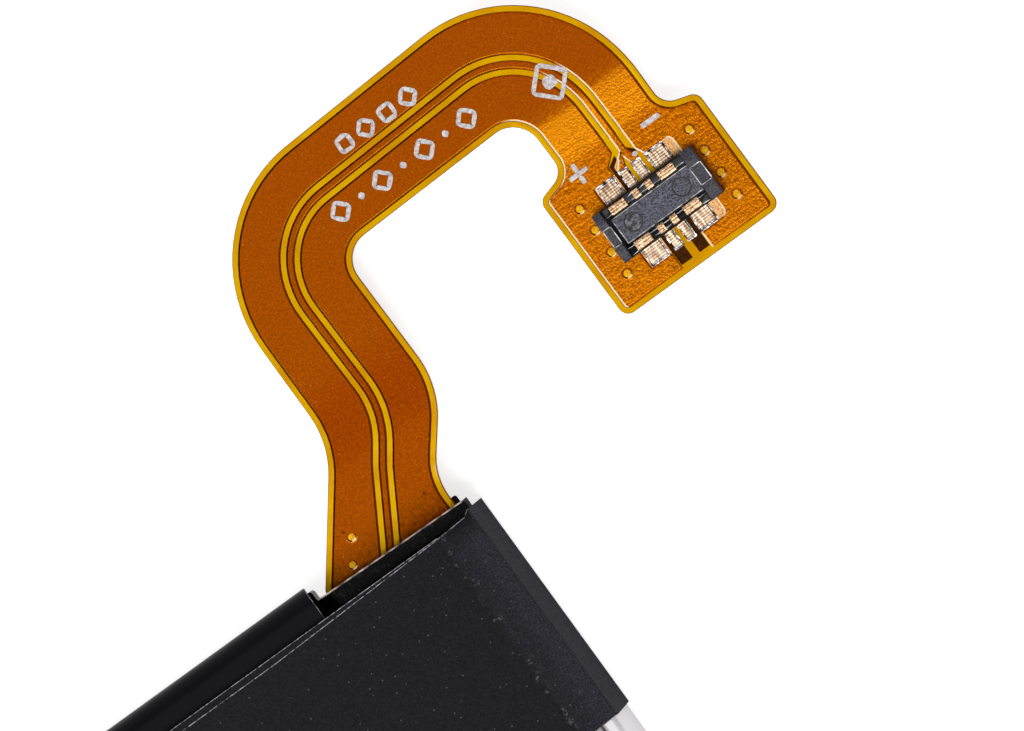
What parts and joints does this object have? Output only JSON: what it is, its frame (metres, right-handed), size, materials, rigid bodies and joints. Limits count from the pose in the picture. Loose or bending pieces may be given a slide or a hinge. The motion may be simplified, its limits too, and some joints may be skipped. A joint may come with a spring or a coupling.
{
  "type": "mobile phone battery",
  "caption": "Flat lithium polymer cell with a black end sleeve, a protection board in its head, and a hook-shaped flexible circuit that ends in a board-to-board plug",
  "frame": {"origin": "middle of the cell's flat back face", "axes": "+X to the cell's right side as seen from the front, +Y along the cell towards its head and the flexible circuit, +Z out of the front face"},
  "size_m": [0.0813, 0.1026, 0.0045],
  "materials": {
    "pouch_foil": "satin",
    "aluminium_tab": "satin",
    "nickel_tab": "satin",
    "seal_plastic": "matte",
    "foam": "matte",
    "board": "satin",
    "glossy_tape": "gloss",
    "chip_body": "matte",
    "chip_tan": "matte",
    "black_card": "matte",
    "head_tape": "satin",
    "black_film": "matte",
    "base_film": "satin",
    "copper": "satin",
    "cover_film": "satin",
    "clear_cover_film": "satin",
    "solder": "satin",
    "stiffener_steel": "satin",
    "plug_plastic": "satin",
    "gold_contact": "gloss",
    "white_ink": "matte"
  },
  "bodies": {
    "root": {"pouch_cell": "pouch_foil", "positive_tab": "aluminium_tab", "negative_tab": "nickel_tab", "positive_seal": "seal_plastic", "negative_seal": "seal_plastic", "terrace_pad": "foam", "protection_board": "board", "positive_weld_pad": "nickel_tab", "negative_weld_pad": "nickel_tab", "board_tape": "glossy_tape", "mosfet_1": "chip_body", "mosfet_2": "chip_body", "protection_ic": "chip_body", "sense_resistor": "chip_body", "thermistor": "chip_body", "chip_capacitors": "chip_tan", "chip_resistors": "chip_body", "head_foam": "foam", "head_card": "black_card", "head_wrap": "head_tape", "end_sleeve": "black_film", "flex_base_film": "base_film", "flex_positive_plane": "copper", "flex_negative_plane": "copper", "flex_signal_trace": "copper", "flex_sense_lands": "copper", "flex_cover_raised": "cover_film", "flex_cover_low": "clear_cover_film", "flex_solder": "solder", "flex_root_tape": "glossy_tape", "flex_stiffener": "stiffener_steel", "connector_housing": "plug_plastic", "power_contact_1": "gold_contact", "power_contact_2": "gold_contact", "power_contact_3": "gold_contact", "power_contact_4": "gold_contact", "signal_contact_1": "gold_contact", "signal_contact_2": "gold_contact", "signal_contact_3": "gold_contact", "signal_contact_4": "gold_contact", "power_joint_1": "solder", "power_joint_2": "solder", "power_joint_3": "solder", "power_joint_4": "solder", "signal_joint_1": "solder", "signal_joint_2": "solder", "signal_joint_3": "solder", "signal_joint_4": "solder"}
  },
  "joints": []
}
